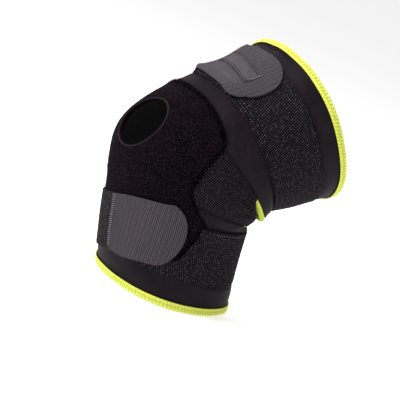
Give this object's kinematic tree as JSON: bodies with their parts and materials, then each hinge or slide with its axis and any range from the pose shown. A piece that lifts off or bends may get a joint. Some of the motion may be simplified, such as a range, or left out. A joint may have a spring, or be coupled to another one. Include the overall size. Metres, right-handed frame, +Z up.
{
  "type": "knee brace",
  "caption": "Open-patella neoprene knee brace on a bent knee, with a loop-pile front, side gussets, bound rims and two wrap straps with hook tabs.",
  "frame": {"origin": "inside the knee, where the middle lines of the shank and the thigh cross", "axes": "+Z up along the shank, -Y to the front of the knee, +X to the brace's right side, where both straps are sewn; the thigh leans back 53 degrees over +Y"},
  "size_m": [0.15, 0.2039, 0.232],
  "materials": {
    "neoprene_jersey": "smooth matt charcoal nylon jersey over neoprene",
    "plush_loop": "velvety brushed loop pile, near black",
    "elastic_knit": "coarse ribbed elastic knit, near black",
    "elastic_webbing": "wide woven elastic webbing with a dotted weave and corded selvages",
    "tab_twill": "fine grey twill face of the hook tabs",
    "hook_tape": "dense hook tape",
    "edge_tape": "yellow-green elastic edge tape with zigzag stitching",
    "edge_thread": "black overlocked edge",
    "label_weave": "plain woven label, blank"
  },
  "bodies": {
    "calf_cuff": {"calf_sleeve": "neoprene_jersey", "calf_rim_binding": "edge_tape", "front_plush_panel": "plush_loop", "side_gusset_right": "elastic_knit", "side_gusset_left": "elastic_knit", "patella_hole_edging": "edge_thread", "popliteal_edging": "edge_tape", "lower_strap_webbing_1": "elastic_webbing"},
    "thigh_cuff": {"thigh_sleeve": "neoprene_jersey", "thigh_rim_binding": "edge_tape", "upper_strap_webbing_1": "elastic_webbing"},
    "upper_strap_2": {"upper_strap_webbing_2": "elastic_webbing"},
    "upper_strap_3": {"upper_strap_webbing_3": "elastic_webbing"},
    "upper_strap_4": {"upper_strap_webbing_4": "elastic_webbing"},
    "upper_tab": {"upper_strap_tab": "tab_twill", "upper_tab_hook_patch": "hook_tape", "upper_tab_label": "label_weave"},
    "lower_strap_2": {"lower_strap_webbing_2": "elastic_webbing"},
    "lower_strap_3": {"lower_strap_webbing_3": "elastic_webbing"},
    "lower_strap_4": {"lower_strap_webbing_4": "elastic_webbing"},
    "lower_strap_5": {"lower_strap_webbing_5": "elastic_webbing"},
    "lower_tab": {"lower_strap_tab": "tab_twill", "lower_tab_hook_patch": "hook_tape"}
  },
  "joints": [
    {"name": "knee_flexion", "type": "hinge", "parent": "calf_cuff", "child": "thigh_cuff", "pos_m": [0, -0.0358, 0.01785], "axis": [-1, 0, 0], "range_deg": [-53, 4], "deforming": ["front_plush_panel", "side_gusset_right", "side_gusset_left", "patella_hole_edging", "popliteal_edging"]},
    {"name": "upper_strap_open", "type": "hinge", "parent": "thigh_cuff", "child": "upper_strap_2", "pos_m": [-0.03047, 0.08725, -0.01607], "axis": [0.09, -0.8965, -0.4339], "range_deg": [0, 41]},
    {"name": "upper_strap_open_2", "type": "hinge", "parent": "upper_strap_2", "child": "upper_strap_3", "pos_m": [-0.06844, 0.06049, 0.01439], "axis": [0.0829, -0.8137, -0.5754], "range_deg": [0, 41]},
    {"name": "upper_strap_open_3", "type": "hinge", "parent": "upper_strap_3", "child": "upper_strap_4", "pos_m": [-0.06819, 0.02716, 0.05144], "axis": [0.0429, -0.7864, -0.6163], "range_deg": [0, 41]},
    {"name": "upper_tab_peel", "type": "hinge", "parent": "upper_strap_4", "child": "upper_tab", "pos_m": [-0.04053, 0.00834, 0.08443], "axis": [-0.0001, -0.7988, -0.6016], "range_deg": [0, 100]},
    {"name": "lower_strap_open", "type": "hinge", "parent": "calf_cuff", "child": "lower_strap_2", "pos_m": [-0.02703, 0.05796, -0.07081], "axis": [-0.0658, 0.1411, -0.9878], "range_deg": [0, 35]},
    {"name": "lower_strap_open_2", "type": "hinge", "parent": "lower_strap_2", "child": "lower_strap_3", "pos_m": [-0.05984, 0.02178, -0.07626], "axis": [-0.0022, 0.0008, -1], "range_deg": [0, 35]},
    {"name": "lower_strap_open_3", "type": "hinge", "parent": "lower_strap_3", "child": "lower_strap_4", "pos_m": [-0.05747, -0.0268, -0.07946], "axis": [0.0565, 0.0263, -0.9981], "range_deg": [0, 35]},
    {"name": "lower_strap_open_4", "type": "hinge", "parent": "lower_strap_4", "child": "lower_strap_5", "pos_m": [-0.03178, -0.05504, -0.07696], "axis": [0.1112, 0.1926, -0.975], "range_deg": [0, 35]},
    {"name": "lower_tab_peel", "type": "hinge", "parent": "lower_strap_5", "child": "lower_tab", "pos_m": [0.00113, -0.06482, -0.06981], "axis": [-0.0047, 0.2697, -0.9629], "range_deg": [0, 60]}
  ],
  "couplings": [
    {"joint": "upper_strap_open_2", "follows": "upper_strap_open", "ratio": 1},
    {"joint": "upper_strap_open_3", "follows": "upper_strap_open", "ratio": 1},
    {"joint": "lower_strap_open_2", "follows": "lower_strap_open", "ratio": 1},
    {"joint": "lower_strap_open_3", "follows": "lower_strap_open", "ratio": 1},
    {"joint": "lower_strap_open_4", "follows": "lower_strap_open", "ratio": 1}
  ]
}
